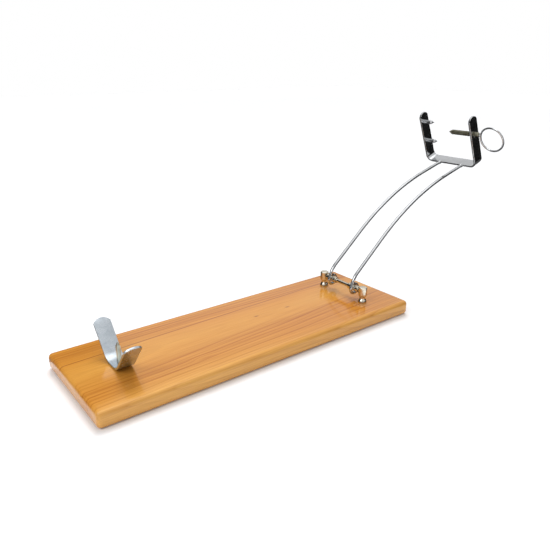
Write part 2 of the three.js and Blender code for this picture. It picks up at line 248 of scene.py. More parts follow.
def strip_stations(half_width, rise, half_length, bend_start, bend_length):
    """(distance along the strip, half width there) from one round end to the other."""
    arc = (half_width**2 + rise**2) / (2 * rise)
    spread = math.asin(half_width / arc)
    tip = [
        (half_length - arc * (1 - math.cos(angle)), arc * math.sin(angle))
        for angle in (spread * (k / 14) for k in range(15))
    ]
    wing_start = bend_start + bend_length
    bend = [bend_start + bend_length * k / 16 for k in range(17)]
    wing_end = half_length - rise
    wing = [wing_start + (wing_end - wing_start) * k / 12 for k in range(1, 12)]
    floor = [bend_start * k / 8 for k in range(8)]
    right = [(s, half_width) for s in floor + bend + wing] + tip[::-1]
    left = [(-s, width) for s, width in right[:0:-1]]
    return left + right


def bent_strip(name, half_width, rise, thickness, floor_half, bend_radius, wing, angle, edge):
    """A flat bar with round ends and eased edges, bent up at both ends. X runs across it, Y along
    its floor and Z up from its underside."""
    turn = math.radians(angle)
    bend_length = bend_radius * turn
    half_length = floor_half + bend_length + wing
    stations = strip_stations(half_width, rise, half_length, floor_half, bend_length)

    def on_strip(s, height):
        """The point over distance s along the underside, at that height through the bar."""
        side, s = math.copysign(1, s), abs(s)
        swing = min(max(s - floor_half, 0) / bend_radius, turn)
        past = max(s - floor_half - bend_length, 0)
        y = min(s, floor_half) + bend_radius * math.sin(swing) + past * math.cos(turn)
        z = bend_radius * (1 - math.cos(swing)) + past * math.sin(turn)
        return side * (y - height * math.sin(swing)), z + height * math.cos(swing)

    edge_steps = 4
    quarter = [math.pi / 2 * k / edge_steps for k in range(edge_steps + 1)]
    lower = [(edge * (1 - math.sin(a)), edge * (1 - math.cos(a))) for a in quarter]
    layers = lower + [(inset, thickness - height) for inset, height in lower[::-1]]
    vertices = []
    for inset, height in layers:
        for s, width in stations:
            squeeze = 1 - inset / half_length
            narrow = max(width - inset, 0)
            y, z = on_strip(s * squeeze, height)
            vertices += [(narrow, y, z), (-narrow, y, z)]
    count = len(stations)
    faces = []
    for layer in range(len(layers) - 1):
        here, above = 2 * count * layer, 2 * count * (layer + 1)
        for i in range(count - 1):
            for side in (0, 1):
                a, b = 2 * i + side, 2 * (i + 1) + side
                faces.append((here + a, here + b, above + b, above + a))
    for start in (0, 2 * count * (len(layers) - 1)):
        for i in range(count - 1):
            a, b = start + 2 * i, start + 2 * (i + 1)
            faces.append((a, b, b + 1, a + 1))
    return mesh_object(name, vertices, faces)


# ---------------------------------------------------------------- materials


class Nodes:
    """Adds shader nodes to a material: each call returns an output, ready to be an input."""

    def __init__(self, name):
        self.material = bpy.data.materials.new(name)
        self.material.use_nodes = True
        self.tree = self.material.node_tree
        self.shader = self.tree.nodes["Principled BSDF"]
        self.place = self.add("ShaderNodeTexCoord").outputs["Object"]

    def add(self, kind, settings=None, **inputs):
        node = self.tree.nodes.new(kind)
        for key, value in (settings or {}).items():
            setattr(node, key, value)
        for key, value in inputs.items():
            self.feed(node.inputs[key.replace("_", " ")], value)
        return node

    def feed(self, socket, value):
        if isinstance(value, bpy.types.NodeSocket):
            self.tree.links.new(value, socket)
        else:
            socket.default_value = value

    def math(self, operation, *values, clamp=False):
        node = self.add("ShaderNodeMath", {"operation": operation, "use_clamp": clamp})
        for socket, value in zip(node.inputs, values):
            self.feed(socket, value)
        return node.outputs[0]

    def scaled(self, scale, place=None):
        node = self.add("ShaderNodeMapping", Vector=place or self.place)
        node.inputs["Scale"].default_value = scale
        return node.outputs[0]

    def noise(self, scale, detail=3.0, roughness=0.55, stretch=(1, 1, 1), distortion=0.0):
        where = self.scaled([scale * s for s in stretch])
        node = self.add("ShaderNodeTexNoise", Vector=where, Scale=1.0, Detail=detail)
        node.inputs["Roughness"].default_value = roughness
        node.inputs["Distortion"].default_value = distortion
        return node.outputs["Fac"]

    def spread(self, value, low, high, new_low=0.0, new_high=1.0, smooth=False):
        node = self.add("ShaderNodeMapRange", {"clamp": True}, Value=value)
        if smooth:
            node.interpolation_type = "SMOOTHSTEP"
        limits = {"From Min": low, "From Max": high, "To Min": new_low, "To Max": new_high}
        for key, number in limits.items():
            node.inputs[key].default_value = number
        return node.outputs[0]

    def ramp(self, value, *stops):
        node = self.add("ShaderNodeValToRGB", Fac=value)
        elements = node.color_ramp.elements
        while len(elements) < len(stops):
            elements.new(0.5)
        for element, (position, colour) in zip(elements, stops):
            element.position = position
            element.color = (*colour, 1)
        return node.outputs["Color"]

    def mix(self, factor, first, second, blend="MIX"):
        node = self.add("ShaderNodeMix", {"data_type": "RGBA", "blend_type": blend})
        self.feed(node.inputs[0], factor)
        self.feed(node.inputs[6], (*first, 1) if isinstance(first, tuple) else first)
        self.feed(node.inputs[7], (*second, 1) if isinstance(second, tuple) else second)
        return node.outputs[2]

    def bump(self, height, strength, distance):
        node = self.add("ShaderNodeBump", Height=height)
        node.inputs["Strength"].default_value = strength
        node.inputs["Distance"].default_value = distance
        return node.outputs["Normal"]

    def set(self, **inputs):
        for key, value in inputs.items():
            self.feed(self.shader.inputs[key.replace("_", " ")], value)
        return self.material


def ridge(nodes, value, centre, half):
    """1 at the centre of a narrow band, falling to 0 at half its width away."""
    away = nodes.math("ABSOLUTE", nodes.math("SUBTRACT", value, centre))
    return nodes.spread(away, 0.0, half, 1.0, 0.0, smooth=True)


def hypotenuse(nodes, first, second):
    squares = nodes.math("ADD", nodes.math("MULTIPLY", first, first), nodes.math("MULTIPLY", second, second))
    return nodes.math("SQRT", squares)


# Middles (x, y) of the places where the rings bulge round a knot. The first two show their knots.
KNOTS = ((85 * MM, 11 * MM), (28 * MM, 12 * MM), (-96 * MM, -46 * MM))
KNOT_BULGE = 3.2 * MM
RING_SPACING = 4.6 * MM
GRAIN_SLANT = 0.035


def knot_nearness(nodes, x, y, knot, length, width):
    """1 in the middle of a knot, 0 outside an ellipse of that length and width round it."""
    along = nodes.math("DIVIDE", nodes.math("SUBTRACT", x, knot[0]), length)
    across = nodes.math("DIVIDE", nodes.math("SUBTRACT", y, knot[1]), width)
    distance = hypotenuse(nodes, along, across)
    return nodes.spread(distance, 0.0, 1.0, 1.0, 0.0, smooth=True)


def growth_rings(nodes, x, y, z):
    """Distance from the log's wandering pith, counted in rings, so that faces show cathedrals and
    ends show arcs."""
    sway = nodes.math("SUBTRACT", nodes.noise(1, 2, 0.5, (2.6, 11, 11)), 0.5)
    wander = nodes.math("MULTIPLY", sway, 22 * MM)
    side = nodes.math("SUBTRACT", nodes.math("ADD", y, wander), nodes.math("MULTIPLY", x, GRAIN_SLANT))
    side = nodes.math("SUBTRACT", side, 14 * MM)
    depth = nodes.math("ADD", nodes.math("ADD", z, 34 * MM), nodes.math("MULTIPLY", x, 0.045))
    radius = hypotenuse(nodes, side, depth)
    for knot in KNOTS:
        bulge = knot_nearness(nodes, x, y, knot, 26 * MM, 9 * MM)
        radius = nodes.math("ADD", radius, nodes.math("MULTIPLY", bulge, KNOT_BULGE))
    return nodes.math("DIVIDE", radius, RING_SPACING)


def season_strength(nodes, rings):
    """How dark the latewood is: it deepens through each ring, by an amount that varies by year."""
    season = nodes.ramp(
        nodes.math("FRACT", rings),
        (0.0, (0.05, 0.05, 0.05)),
        (0.45, (0.16, 0.16, 0.16)),
        (0.80, (0.62, 0.62, 0.62)),
        (0.93, (1.0, 1.0, 1.0)),
        (1.0, (0.08, 0.08, 0.08)),
    )
    year = nodes.math("FLOOR", rings)
    each_year = nodes.add("ShaderNodeTexWhiteNoise", {"noise_dimensions": "1D"}, W=year)
    return nodes.math("MULTIPLY", season, nodes.spread(each_year.outputs["Value"], 0, 1, 0.25, 0.95))


def dark_marks(nodes, wood, x, y):
    """The wood with the three long dark lines beside the far edge, and two small knots."""
    drift = nodes.math("SUBTRACT", y, nodes.math("MULTIPLY", x, GRAIN_SLANT))
    drift = nodes.math("ADD", drift, nodes.math("MULTIPLY", nodes.noise(1, 2, 0.5, (7, 0, 0)), 5 * MM))
    lines = (
        (48.2 * MM, 1.6 * MM, 0.80),
        (62.5 * MM, 1.0 * MM, 0.30),
        (72.5 * MM, 1.2 * MM, 0.36),
    )
    for centre, half, depth in lines:
        band = nodes.math("MULTIPLY", ridge(nodes, drift, centre, half), depth)
        wood = nodes.mix(band, wood, (0.24, 0.060, 0.008))
    for knot in KNOTS[:2]:
        core = knot_nearness(nodes, x, y, knot, 6.5 * MM, 2.6 * MM)
        wood = nodes.mix(nodes.math("MULTIPLY", core, 0.75), wood, (0.22, 0.055, 0.010))
    return wood


def pine_finish():
    """Honey pine under satin varnish, its grain along X and pale sapwood along the near edge, where the
    colour is also painted paler to stand in for light on the near rounded edge and side face.
    """
    nodes = Nodes("varnished_pine")
    axes = nodes.add("ShaderNodeSeparateXYZ", Vector=nodes.place).outputs
    x, y, z = axes[0], axes[1], axes[2]
    latewood = season_strength(nodes, growth_rings(nodes, x, y, z))
    flow = nodes.spread(nodes.noise(1, 3, 0.6, (1.8, 80, 80)), 0.40, 0.66)
    streak = nodes.spread(nodes.noise(1, 3, 0.6, (2.6, 230, 230)), 0.50, 0.72)
    fibre = nodes.noise(1, 6, 0.7, (16, 720, 720))
    wide = nodes.noise(1, 2, 0.5, (2.2, 14, 14))

    light = nodes.mix(nodes.spread(wide, 0.35, 0.65), (0.67, 0.320, 0.052), (0.63, 0.258, 0.028))
    # Pale sapwood along the near edge and down the near side, painted paler than the wood alone to stand in
    # for the light that the rounded edge and side face catch.
    ragged = nodes.math("ADD", y, nodes.math("MULTIPLY", wide, 22 * MM))
    sapwood_and_edge_light = nodes.spread(ragged, -74 * MM, -58 * MM, 1.0, 0.0)
    light = nodes.mix(nodes.math("MULTIPLY", sapwood_and_edge_light, 0.62), light, (0.90, 0.50, 0.125))
    dark = nodes.mix(nodes.spread(wide, 0.3, 0.7), (0.44, 0.145, 0.009), (0.35, 0.098, 0.005))

    off_middle = nodes.math("ABSOLUTE", nodes.math("SUBTRACT", y, 16 * MM))
    flank = nodes.spread(off_middle, 20 * MM, 42 * MM, 0.14, 0.85)
    streaks = nodes.math("ADD", latewood, nodes.math("MULTIPLY", streak, 0.45))
    streaks = nodes.math("ADD", streaks, nodes.math("MULTIPLY", flow, 0.35))
    grain = nodes.math("MULTIPLY", streaks, flank)
    grain = nodes.math("MULTIPLY", grain, nodes.spread(sapwood_and_edge_light, 0, 1, 1.0, 0.45), clamp=True)
    wood = nodes.mix(grain, light, dark)
    wood = nodes.mix(nodes.spread(fibre, 0.35, 0.75, 0.0, 0.34), wood, (0.31, 0.088, 0.012))
    wood = dark_marks(nodes, wood, x, y)

    relief = nodes.math("ADD", nodes.math("MULTIPLY", fibre, 0.7), nodes.math("MULTIPLY", latewood, 0.5))
    orange_peel = nodes.noise(230, 2, 0.5)
    nodes.set(
        Base_Color=wood,
        Roughness=nodes.spread(fibre, 0.3, 0.8, 0.40, 0.58),
        Normal=nodes.bump(relief, 0.20, 0.25 * MM),
        Specular_IOR_Level=0.15,
        Coat_Weight=0.8,
        Coat_Roughness=0.12,
        Coat_IOR=1.5,
        Coat_Normal=nodes.bump(orange_peel, 0.10, 0.10 * MM),
    )
    return "pine", nodes.material


def zinc_finish(name="satin_zinc", bright=(0.60, 0.65, 0.69), dull=(0.42, 0.47, 0.51)):
    """Zinc plate: cloudy, with fine rolling marks and a few scuffs."""
    nodes = Nodes(name)
    cloud = nodes.noise(95, 4, 0.6, distortion=0.6)
    speck = nodes.noise(900, 3, 0.7)
    scuff = nodes.spread(nodes.noise(1, 5, 0.75, (60, 1500, 260)), 0.60, 0.78)
    base = nodes.mix(nodes.spread(cloud, 0.32, 0.70), bright, dull)
    base = nodes.mix(nodes.spread(speck, 0.45, 0.75, 0.0, 0.35), base, (0.74, 0.77, 0.78))
    base = nodes.mix(nodes.math("MULTIPLY", scuff, 0.35), base, (0.33, 0.35, 0.36))
    height = nodes.math("ADD", nodes.math("MULTIPLY", cloud, 0.8), nodes.math("MULTIPLY", speck, 0.25))
    dulling = nodes.math("ADD", cloud, nodes.math("MULTIPLY", speck, 0.4))
    nodes.set(
        Base_Color=base,
        Metallic=1.0,
        Roughness=nodes.spread(dulling, 0.4, 0.95, 0.20, 0.40),
        Normal=nodes.bump(height, 0.22, 0.12 * MM),
    )
    return "zinc", nodes.material


def nickel_finish():
    """Warm nickel plate on turned pieces, with faint tool marks and smudges."""
    nodes = Nodes("warm_nickel")
    smudge = nodes.noise(160, 3, 0.6)
    turning = nodes.noise(1, 2, 0.6, (40, 40, 2600))
    base = nodes.mix(nodes.spread(smudge, 0.35, 0.7), (0.80, 0.75, 0.63), (0.66, 0.60, 0.48))
    nodes.set(
        Base_Color=base,
        Metallic=1.0,
        Roughness=nodes.spread(smudge, 0.3, 0.75, 0.16, 0.28),
        Normal=nodes.bump(turning, 0.10, 0.05 * MM),
    )
    return "nickel", nodes.material


def polished_finish():
    """Bright plated steel: nearly a mirror, with faint smears and hairline scratches."""
    nodes = Nodes("polished_plate")
    smear = nodes.noise(70, 3, 0.6, (1, 1, 1), 0.8)
    hairline = nodes.noise(1, 3, 0.7, (260, 60, 2200))
    base = nodes.mix(nodes.spread(smear, 0.3, 0.75), (0.62, 0.63, 0.64), (0.52, 0.53, 0.535))
    nodes.set(
        Base_Color=base,
        Metallic=1.0,
        Roughness=nodes.spread(smear, 0.3, 0.8, 0.045, 0.15),
        Normal=nodes.bump(hairline, 0.05, 0.03 * MM),
    )
    return "polished", nodes.material


def bronzed_finish():
    """Dark bronzed thread, brighter in random worn patches."""
    nodes = Nodes("bronzed_thread")
    patch = nodes.noise(210, 4, 0.65)
    grit = nodes.noise(1500, 3, 0.7)
    base = nodes.mix(nodes.spread(patch, 0.35, 0.68), (0.17, 0.165, 0.125), (0.30, 0.285, 0.215))
    base = nodes.mix(nodes.spread(grit, 0.55, 0.8, 0.0, 0.5), base, (0.10, 0.11, 0.08))
    nodes.set(
        Base_Color=base,
        Metallic=1.0,
        Roughness=nodes.spread(patch, 0.3, 0.7, 0.26, 0.46),
        Normal=nodes.bump(grit, 0.25, 0.05 * MM),
    )
    return "bronzed", nodes.material


# ---------------------------------------------------------------- board


def make_board(pine):
    """The plank with its round edges, drilled and counterbored from below for three fasteners."""
    low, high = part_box("base_board")
    half_length, half_width = (high.x - low.x) / 2, (high.y - low.y) / 2
    plank = block("board", (-half_length, -half_width, 0), (half_length, half_width, high.z - low.z))
    board = bevelled(plank, BOARD_EDGE_RADIUS, segments=12)
    for washer in ("cradle_washer", "post_washer_near", "post_washer_far"):
        at = middle(washer)
        below = (at.x, at.y, -CUT_MARGIN)
        drill(board, COUNTERBORE_DIAMETER, below, (at.x, at.y, COUNTERBORE_DEPTH))
        drill(board, SCREW_HOLE, below, (at.x, at.y, high.z + CUT_MARGIN))
    bevelled(board, 0.35 * MM, segments=2, angle=60)
    return stands_for(board, "base", pine, "base_board", sharp=40)


# ---------------------------------------------------------------- cradle end


def make_cradle(zinc):
    low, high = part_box("cradle")
    strip = bent_strip(
        "cradle_strip",
        (high.x - low.x) / 2,
        CRADLE_END_RISE,
        STRIP_THICKNESS,
        CRADLE_FLOOR_HALF,
        CRADLE_BEND,
        CRADLE_WING,
        CRADLE_ANGLE,
        edge=0.55 * MM,
    )
    place(strip, Matrix.Translation((middle("cradle").x, 0, low.z)))
    at = middle("cradle_spike")
    drill(strip, SCREW_HOLE, (at.x, at.y, low.z - 2 * MM), (at.x, at.y, low.z + 5 * MM))
    return stands_for(strip, "base", zinc, "cradle", sharp=50)


def make_cradle_spike(zinc):
    """Square bar ground to a four-sided point, its edges eased, on a round tail."""
    low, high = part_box("cradle_spike")
    at = middle("cradle_spike")
    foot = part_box("cradle")[0].z + STRIP_THICKNESS
    half = (high.x - low.x) / 2
    levels = ((foot, half), (high.z - SPIKE_POINT, half), (high.z, half * 0.05))
    square = ((-1, -1), (1, -1), (1, 1), (-1, 1))
    vertices = [(x * reach, y * reach, z) for z, reach in levels for x, y in square]
    faces = [(0, 1, 2, 3), (8, 9, 10, 11)]
    for base in (0, 4):
        for k in range(4):
            j = (k + 1) % 4
            faces.append((base + k, base + j, base + 4 + j, base + 4 + k))
    spike = bevelled(mesh_object("cradle_spike_bar", vertices, faces), 0.45 * MM, 3)
    place(spike, Matrix.Translation((at.x, at.y, 0)))
    stands_for(spike, "base", zinc, "cradle_spike", sharp=28)
    tail = 2.5 * MM
    profile = rounded([(0, low.z), (tail, low.z), (tail, foot), (0, foot)], 0.5 * MM)
    stud = place(lathed("cradle_spike_tail", profile, 40), Matrix.Translation((at.x, at.y, 0)))
    return stands_for(stud, "base", zinc)


def make_washer(node, zinc):
    low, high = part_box(node)
    at = middle(node)
    outer, inner = (high.x - low.x) / 2, 2.8 * MM
    ring = [(inner, low.z), (outer, low.z), (outer, high.z), (inner, high.z)]
    disc = lathed(node + "_disc", rounded(ring, 0.2 * MM, 3, closed=True), 64, closed=True)
    place(disc, Matrix.Translation((at.x, at.y, 0)))
    return stands_for(disc, "base", zinc, node)


def make_cradle_nut(zinc):
    low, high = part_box("cradle_nut")
    at = middle("cradle_nut")
    corner = (high.x - low.x) / math.sqrt(3)
    angles = [math.pi / 6 + k * math.pi / 3 for k in range(6)]
    vertices = [
        (corner * math.cos(angle), corner * math.sin(angle), z)
        for z in (low.z, high.z)
        for angle in angles
    ]
    faces = [tuple(range(6)), tuple(range(6, 12))]
    faces += [(k, (k + 1) % 6, 6 + (k + 1) % 6, 6 + k) for k in range(6)]
    nut = bevelled(mesh_object("cradle_nut_hexagon", vertices, faces), 0.35 * MM, 2)
    drill(nut, SCREW_HOLE, (0, 0, low.z - CUT_MARGIN), (0, 0, high.z + CUT_MARGIN))
    place(nut, Matrix.Translation((at.x, at.y, 0)))
    return stands_for(nut, "base", zinc, "cradle_nut", sharp=25)


# ---------------------------------------------------------------- posts, bar and collars


def make_post(where, side, nickel):
    """A turned post with a flared foot, a waist and a head that the bar's end is let into."""
    node = f"post_{where}"
    low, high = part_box(node)
    at = middle(node)
    height = high.z - low.z
    foot = (high.x - low.x) / 2
    head = 6.5 * MM
    waist = 4.4 * MM
    profile = [
        (0, 0),
        (foot, 0),
        (foot, 1.4 * MM),
        (foot - 0.5 * MM, 3 * MM),
        (waist + 0.5 * MM, 5 * MM),
        (waist, 6.2 * MM),
        (waist, 7.6 * MM),
        (waist + 0.4 * MM, 8.6 * MM),
        (head - 0.5 * MM, 10.4 * MM),
        (head, 11.6 * MM),
        (head, height - 0.8 * MM),
        (head - 0.8 * MM, height),
        (0, height),
    ]
    post = lathed(node + "_turned", rounded(profile, 0.7 * MM, 5), 96)
    place(post, Matrix.Translation((at.x, at.y, low.z)))
    bar = middle("cross_bar")
    bar_end = side * (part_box("cross_bar")[1].y + GAP)
    drill(post, BAR_SOCKET, (bar.x, at.y - side * BAR_SOCKET_DEPTH, bar.z), (bar.x, bar_end, bar.z))
    drill(post, SCREW_HOLE, (at.x, at.y, low.z - CUT_MARGIN), (at.x, at.y, low.z + 12 * MM))
    return stands_for(post, "base", nickel, node, sharp=38)


def make_post_screw(where, zinc):
    """Slotted machine screw with an eased head, seen only from under the board."""
    node = f"post_screw_{where}"
    low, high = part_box(node)
    at = middle(node)
    head, shank = (high.x - low.x) / 2, 2.5 * MM
    under = low.z + 3.2 * MM
    profile = [(0, low.z), (head - 1 * MM, low.z), (head, low.z + 1.2 * MM), (head, under)]
    profile += [(shank, under), (shank, high.z - 1 * MM), (shank - 1 * MM, high.z), (0, high.z)]
    screw = lathed(node + "_turned", rounded(profile, 0.4 * MM), 64)
    place(screw, Matrix.Translation((at.x, at.y, 0)))
    bottom = Vector((at.x, at.y, low.z))
    slot = Vector((0.6 * MM, head + CUT_MARGIN, 1.3 * MM))
    cut(screw, block("slot_cutter", bottom - slot, bottom + slot))
    return stands_for(screw, "base", zinc, node, sharp=28)


def make_cross_bar(nickel):
    low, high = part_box("cross_bar")
    at = middle("cross_bar")
    radius, length = (high.z - low.z) / 2, high.y - low.y
    slim = radius - 0.25 * MM
    waist = length / 2 - 13 * MM
    profile = [(0, 0), (radius, 0), (radius, waist), (slim, waist + 1 * MM)]
    profile += [(r, length - h) for r, h in profile[::-1]]
    bar = lathed("cross_bar_turned", rounded(profile, 0.5 * MM), 64)
    place(bar, along_y(low.y, (at.x, at.z)))
    return stands_for(bar, "base", nickel, "cross_bar")


def make_collar(where, end, nickel):
    node = f"collar_{where}_{end}"
    low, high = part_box(node)
    at = middle(node)
    outer, inner, length = (high.z - low.z) / 2, 3.5 * MM, high.y - low.y
    ring = [(inner, 0), (outer, 0), (outer, length), (inner, length)]
    tube = lathed(node + "_tube", rounded(ring, 0.6 * MM, 4, closed=True), 72, closed=True)
    place(tube, along_y(low.y, (at.x, at.z)))
    return stands_for(tube, "base", nickel, node)


# ---------------------------------------------------------------- bent rods


def rod_route():
    """Points and directions along the rod's middle line in its own plane, eye's centre at 0."""
    heading = math.radians(ROD_LEAVING + ROD_WRAP)
    start = heading + math.pi / 2
    point = Vector((EYE_RADIUS * math.cos(start), 0, EYE_RADIUS * math.sin(start)))
    stretches = ((EYE_RADIUS / MM, ROD_WRAP),) + ROD_STRETCHES
    points, tangents = [point.copy()], [Vector((math.cos(heading), 0, math.sin(heading)))]
    for size, turn in stretches:
        swing = math.radians(turn)
        length = size * MM * swing if turn else size * MM
        steps = max(6, round(turn / 3.5), round(length / (6 * MM)))
        for _ in range(steps):
            heading -= swing / steps / 2
            step = length / steps
            point = point + step * Vector((math.cos(heading), 0, math.sin(heading)))
            heading -= swing / steps / 2
            points.append(point.copy())
            tangents.append(Vector((math.cos(heading), 0, math.sin(heading))))
    return points, tangents


def rod_frame(side):
    turn = Matrix.Rotation(-side * math.radians(ROD_TOE_IN), 4, "Z")
    hinge_x = middle("post_near").x
    return Matrix.Translation((hinge_x, side * ROD_HALF_SPACING, EYE_HEIGHT)) @ turn


def make_rod(where, side, polished):
    points, tangents = rod_route()
    rod = swept(f"arm_rod_{where}_wire", points, tangents, ROD_DIAMETER / 2, 32)
    place(bevelled(rod, 0.4 * MM, 2, 60), rod_frame(side))
    return stands_for(rod, "arm", polished, f"arm_rod_{where}")


def make_weld(where, side, polished):
    """The ground fillet where a rod meets the strip's front edge."""
    points, tangents = rod_route()
    radius = ROD_DIAMETER / 2
    bead = [
        (radius - 0.4 * MM, -2.4 * MM),
        (radius + 0.05 * MM, -2.2 * MM),
        (radius + 0.35 * MM, -0.9 * MM),
        (radius + 0.8 * MM, 0.1 * MM),
        (radius + 0.7 * MM, 0.75 * MM),
        (radius - 0.6 * MM, 0.8 * MM),
    ]
    weld = lathed(f"weld_{where}", rounded(bead, 0.4 * MM, 3, closed=True), 40, closed=True)
    turn = tangents[-1].to_track_quat("Z", "Y").to_matrix().to_4x4()
    place(weld, rod_frame(side) @ Matrix.Translation(points[-1]) @ turn)
    return stands_for(weld, "arm", polished)


# ---------------------------------------------------------------- screw clamp


def clamp_frame():
    """The clamp's own frame: X across its strip from the front edge, Y along the screw, Z up."""
    screw = middle("clamp_screw")
    axis = Vector((screw.x, 0, screw.z))
    across = Vector((math.cos(CLAMP_TILT), 0, math.sin(CLAMP_TILT)))
    up = Vector((-math.sin(CLAMP_TILT), 0, math.cos(CLAMP_TILT)))
    origin = axis - across * CLAMP_WIDTH / 2 - up * SCREW_HEIGHT
    return Matrix.Translation(origin) @ Matrix.Rotation(-CLAMP_TILT, 4, "Y")


def make_bracket(polished):
    """The clamp's U, with a hole for the screw on the near side and two for the spikes."""
    strip = bent_strip(
        "clamp_strip",
        CLAMP_WIDTH / 2,
        CLAMP_END_RISE,
        STRIP_THICKNESS,
        CLAMP_HALF - CLAMP_BEND,
        CLAMP_BEND,
        CLAMP_HEIGHT - CLAMP_BEND,
        90,
        edge=0.45 * MM,
    )
    inner, outer = CLAMP_HALF - 5 * MM, CLAMP_HALF + 2 * MM
    drill(strip, SCREW_DIAMETER + 2 * GAP, (0, -outer, SCREW_HEIGHT), (0, -inner, SCREW_HEIGHT))
    for height in SPIKE_HEIGHTS.values():
        drill(strip, SPIKE_HOLE, (0, inner, height), (0, outer, height))
    place(strip, clamp_frame() @ Matrix.Translation((CLAMP_WIDTH / 2, 0, 0)))
    return stands_for(strip, "arm", polished, "clamp_bracket", sharp=50)


def make_clamp_spike(where, polished):
    """A pointed stud, stepped down where it passes through the strip and peened outside it."""
    node = f"clamp_spike_{where}"
    low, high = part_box(node)
    reach = CLAMP_HALF - STRIP_THICKNESS - low.y
    body, neck, peened = 3.25 * MM, 2.75 * MM, 3.85 * MM
    through = reach + STRIP_THICKNESS + GAP
    profile = [(0, 0), (body, 6 * MM), (body, reach - GAP / 3), (neck, reach - GAP / 3), (neck, through)]
    profile += [(peened, through), (peened - 0.4 * MM, through + 0.9 * MM), (0, high.y - low.y)]
    spike = lathed(node + "_turned", rounded(profile, 0.35 * MM, 4), 64)
    seat = clamp_frame() @ Matrix.Translation((CLAMP_WIDTH / 2, 0, SPIKE_HEIGHTS[where]))
    place(spike, seat @ along_y(low.y, (0, 0)))
    return stands_for(spike, "arm", polished, node, sharp=25)


def thread_radius(phase, crest):
    """Radius of a rolled 60-degree thread at that fraction of a turn along its pitch."""
    depth = 0.61 * SCREW_PITCH
    fall = abs(2 * (phase % 1) - 1)
    return crest - depth * min(max((fall - 0.12) / 0.70, 0), 1)


def make_screw(bronzed):
    """The clamp screw with a real helical thread, a ground point and a domed outer end."""
    low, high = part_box("clamp_screw")
    length = high.y - low.y
    crest = SCREW_DIAMETER / 2 - 0.05 * MM
    plain_end, point = 5 * MM, 7 * MM
    segments, per_turn = 40, 10
    rows = round(length / SCREW_PITCH * per_turn)
    vertices = []
    for row in range(rows + 1):
        h = length * row / rows
        dome = math.sqrt(max(0, 1 - (max(crest - h, 0) / crest) ** 2))
        tip = min((length - h) / point, 1)
        thread = min(max((h - plain_end) / (2 * MM), 0), 1)
        for k in range(segments):
            wound = thread_radius(h / SCREW_PITCH - k / segments, crest)
            r = crest + (wound - crest) * thread
            r = min(r * dome, crest * tip + (wound - crest) * thread * tip)
            angle = 2 * math.pi * k / segments
            vertices.append((r * math.sin(angle), h, r * math.cos(angle)))
    faces = []
    for row in range(rows):
        for k in range(segments):
            j = (k + 1) % segments
            a, b = row * segments, (row + 1) * segments
            faces.append((a + k, a + j, b + j, b + k))
    screw = mesh_object("clamp_screw_threaded", vertices, faces)
    seat = clamp_frame() @ Matrix.Translation((CLAMP_WIDTH / 2, low.y, SCREW_HEIGHT))
    place(screw, seat)
    return stands_for(screw, "screw", bronzed, "clamp_screw", sharp=40)


def make_ring(polished):
    path, wire_radius = (RING_DIAMETER - RING_WIRE) / 2, RING_WIRE / 2
    wire = [
        (path + wire_radius * math.cos(angle), wire_radius * math.sin(angle))
        for angle in (2 * math.pi * k / 24 for k in range(24))
    ]
    ring = lathed("ring_wire", wire, 144, closed=True)
    turn = Matrix.Rotation(-CLAMP_TILT, 4, "Y") @ Matrix.Rotation(math.pi / 2, 4, "Y")
    place(ring, Matrix.Translation(middle("ring_handle")) @ turn)
    return stands_for(ring, "ring", polished, "ring_handle")


def make_ring_weld(polished):
    """The small bead that joins the ring to the screw's dome."""
    axis = clamp_frame() @ Vector((CLAMP_WIDTH / 2, 0, SCREW_HEIGHT))
    dome = Vector((axis.x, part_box("clamp_screw")[0].y + SCREW_DIAMETER / 2, axis.z))
    direction = (middle("ring_handle") - dome).normalized()
    start = dome + direction * (SCREW_DIAMETER / 2 - 0.5 * MM)
    bead = [(0, 0), (2.5 * MM, 0), (2.6 * MM, 0.5 * MM)]
    bead += [(1.9 * MM, 1.1 * MM), (1.4 * MM, 1.9 * MM), (0, 2.1 * MM)]
    weld = lathed("ring_weld", rounded(bead, 0.5 * MM, 4), 40)
    turn = direction.to_track_quat("Z", "Y").to_matrix().to_4x4()
    place(weld, Matrix.Translation(start) @ turn)
    return stands_for(weld, "ring", polished)


# ---------------------------------------------------------------- studio


def add_camera():
    camera = bpy.data.objects.new("camera", bpy.data.cameras.new("camera"))
    bpy.context.scene.collection.objects.link(camera)
    camera.location = (-0.4074, -0.6035, 0.3735)
    pitch_down, yaw_right = math.radians(20.84), math.radians(37.35)
    camera.rotation_euler = (math.pi / 2 - pitch_down, 0, -yaw_right)
    camera.data.sensor_width = 36
    camera.data.lens = 37.04
    camera.data.clip_end = 50
    bpy.context.scene.camera = camera


def add_softbox(name, place_at, aim, size, power):
    """A rectangular lamp of that (width, height), pointed at the aim."""
    light = bpy.data.lights.new(name, "AREA")
    light.shape = "RECTANGLE"
    light.size, light.size_y = size
    light.energy = power
    lamp = bpy.data.objects.new(name, light)
    bpy.context.scene.collection.objects.link(lamp)
    lamp.location = place_at
    lamp.rotation_euler = (Vector(aim) - Vector(place_at)).to_track_quat("-Z", "Y").to_euler()


def plain_material(name, colour, roughness):
    """One colour that drifts very slightly from place to place."""
    nodes = Nodes(name)
    drift = nodes.noise(3, 2, 0.5)
    shade = nodes.mix(drift, colour, tuple(c * 0.985 for c in colour))
    nodes.set(Base_Color=shade, Roughness=roughness, Specular_IOR_Level=0.2)
    return nodes.material


def add_floor():
    reach = 6
    corners = [(-reach, -reach, 0), (reach, -reach, 0), (reach, reach, 0), (-reach, reach, 0)]
    floor = mesh_object("floor", corners, [(0, 1, 2, 3)])
    floor.data.materials.append(plain_material("floor_white", (0.90, 0.905, 0.915), 0.75))


